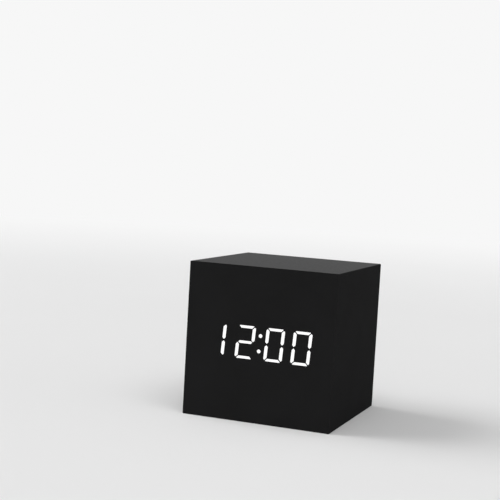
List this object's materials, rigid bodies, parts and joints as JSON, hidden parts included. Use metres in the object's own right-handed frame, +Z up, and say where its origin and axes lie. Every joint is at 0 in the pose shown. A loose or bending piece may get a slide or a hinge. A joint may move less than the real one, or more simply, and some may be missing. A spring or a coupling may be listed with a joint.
{
  "type": "led desk clock",
  "caption": "Black cube desk clock with a lit seven-segment display, a back cover with set buttons, a power socket and a hinged battery door.",
  "frame": {"origin": "middle of the underside, which rests on the table", "axes": "+Z up, the display faces -Y, +X is to the right seen from the front"},
  "size_m": [0.06, 0.06, 0.06],
  "materials": {
    "black_film": "satin black film over fibreboard",
    "raw_wood": "raw softwood",
    "lens": "milky lens, lit white",
    "black_plastic": "fine moulded texture",
    "board": "green circuit board",
    "steel": "nickel plated",
    "grey_plastic": "plain",
    "cell_sleeve": "plain printed sleeve",
    "red_lead": "insulated wire",
    "black_lead": "insulated wire"
  },
  "bodies": {
    "clock": {"front_veneer": "black_film", "wood_case": "black_film", "screw_block_left": "raw_wood", "screw_block_right": "raw_wood", "display_housing": "black_plastic", "digit_lens_hour_tens": "lens", "digit_lens_hour_units": "lens", "digit_lens_minute_tens": "lens", "digit_lens_minute_units": "lens", "colon_lens": "lens", "display_board": "board", "display_screw_1": "steel", "display_screw_2": "steel", "display_screw_3": "steel", "display_screw_4": "steel", "driver_chip": "black_plastic", "clock_crystal": "steel", "coin_cell_holder": "black_plastic", "coin_cell": "steel", "display_connector": "grey_plastic", "ribbon_cable": "grey_plastic", "rear_cover": "black_plastic", "down_switch": "black_plastic", "set_switch": "black_plastic", "up_switch": "black_plastic", "control_board": "board", "control_connector": "grey_plastic", "usb_socket": "steel", "usb_tongue": "black_plastic", "buzzer": "black_plastic", "capacitor": "black_plastic", "cover_screw_1": "steel", "cover_screw_2": "steel", "board_screw_1": "steel", "board_screw_2": "steel", "aaa_cell_1": "cell_sleeve", "aaa_cell_2": "cell_sleeve", "aaa_cell_3": "cell_sleeve", "contact_spring_1": "steel", "contact_spring_2": "steel", "contact_spring_3": "steel", "positive_contact": "steel", "negative_contact": "steel", "link_contact_left": "steel", "link_contact_right": "steel", "red_lead": "red_lead", "black_lead": "black_lead"},
    "battery_door": {"battery_door": "black_plastic"},
    "down_button": {"down_button": "black_plastic", "down_plunger": "grey_plastic"},
    "set_button": {"set_button": "black_plastic", "set_plunger": "grey_plastic"},
    "up_button": {"up_button": "black_plastic", "up_plunger": "grey_plastic"}
  },
  "joints": [
    {"name": "battery_door_hinge", "type": "hinge", "parent": "clock", "child": "battery_door", "pos_m": [0, 0.0282, 0.0057], "axis": [-1, 0, 0], "range_deg": [0, 75]},
    {"name": "down_press", "type": "slide", "parent": "clock", "child": "down_button", "axis": [0, -1, 0], "range_m": [0, 0.0005], "stiffness_N_per_m": 600},
    {"name": "set_press", "type": "slide", "parent": "clock", "child": "set_button", "axis": [0, -1, 0], "range_m": [0, 0.0005], "stiffness_N_per_m": 600},
    {"name": "up_press", "type": "slide", "parent": "clock", "child": "up_button", "axis": [0, -1, 0], "range_m": [0, 0.0005], "stiffness_N_per_m": 600}
  ]
}
